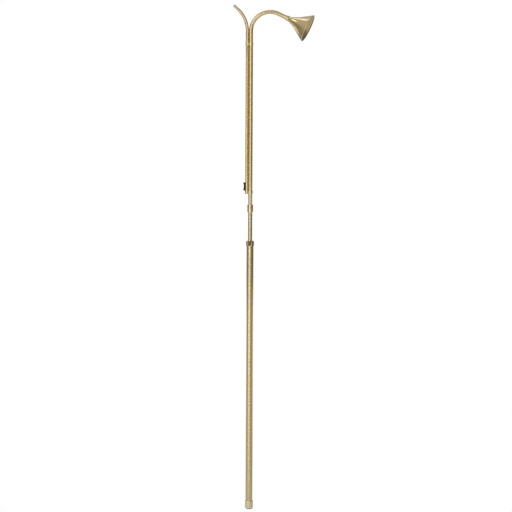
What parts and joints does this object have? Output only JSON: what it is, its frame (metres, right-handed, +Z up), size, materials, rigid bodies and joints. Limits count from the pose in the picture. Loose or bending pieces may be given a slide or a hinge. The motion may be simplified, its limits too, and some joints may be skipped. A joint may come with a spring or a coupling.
{
  "type": "telescoping candle lighter and snuffer",
  "caption": "Telescoping brass pole with a curved wax-taper tube, its thumb slide, and a flared bell snuffer on an arched tube.",
  "frame": {"origin": "centre of the foot pad's underside, on the axis of the handle", "axes": "+Z up the handle, +X towards the snuffer bell, the wick tube on the -X side"},
  "size_m": [0.1883, 0.0646, 1.1604],
  "materials": {
    "brass": "satin polished and lacquered",
    "inner_brass": "turned, unpolished",
    "screw_steel": "plain",
    "nylon": "natural nylon",
    "foot_rubber": "matt grey",
    "slide_plastic": "gloss black"
  },
  "bodies": {
    "handle": {"handle_tube": "brass", "end_plug": "inner_brass", "cap_screw": "screw_steel", "end_cap": "brass", "foot_pad": "foot_rubber", "gland_body": "inner_brass", "collet": "nylon"},
    "gland_ring": {"thrust_ring": "inner_brass"},
    "nut": {"lock_nut": "brass"},
    "guide": {"guide_bush": "nylon"},
    "head": {"telescope_rod": "brass", "rod_end_plug": "inner_brass", "stop_ring": "inner_brass", "coupling_ferrule": "brass", "coupling_stud": "inner_brass", "snuffer_tube": "brass", "lower_bracket": "brass", "wick_tube_plug": "brass", "wick_tube": "brass", "upper_clip": "brass", "wick_nozzle": "brass", "bell_plug": "inner_brass", "bell_collar": "brass", "snuffer_bell": "brass", "bell_screw": "inner_brass"},
    "slider": {"slide_knob": "slide_plastic", "slide_screw": "screw_steel", "wick_carrier": "inner_brass", "carrier_spring": "screw_steel"}
  },
  "joints": [
    {"name": "telescope", "type": "slide", "parent": "handle", "child": "guide", "axis": [0, 0, 1], "range_m": [-0.0615, 0.4775]},
    {"name": "rod_spin", "type": "hinge", "parent": "guide", "child": "head", "pos_m": [0, 0, 0.0955], "axis": [0, 0, 1], "continuous": true},
    {"name": "nut_rise", "type": "slide", "parent": "handle", "child": "gland_ring", "axis": [0, 0, 1], "range_m": [0, 0.00101]},
    {"name": "nut_turn", "type": "hinge", "parent": "gland_ring", "child": "nut", "pos_m": [0, 0, 0.61], "axis": [0, 0, 1], "range_deg": [0, 360]},
    {"name": "wick_feed", "type": "slide", "parent": "head", "child": "slider", "axis": [0, 0, 1], "range_m": [0, 0.305]}
  ],
  "couplings": [
    {"joint": "nut_rise", "follows": "nut_turn", "m_per_rad": 0.00015915}
  ]
}
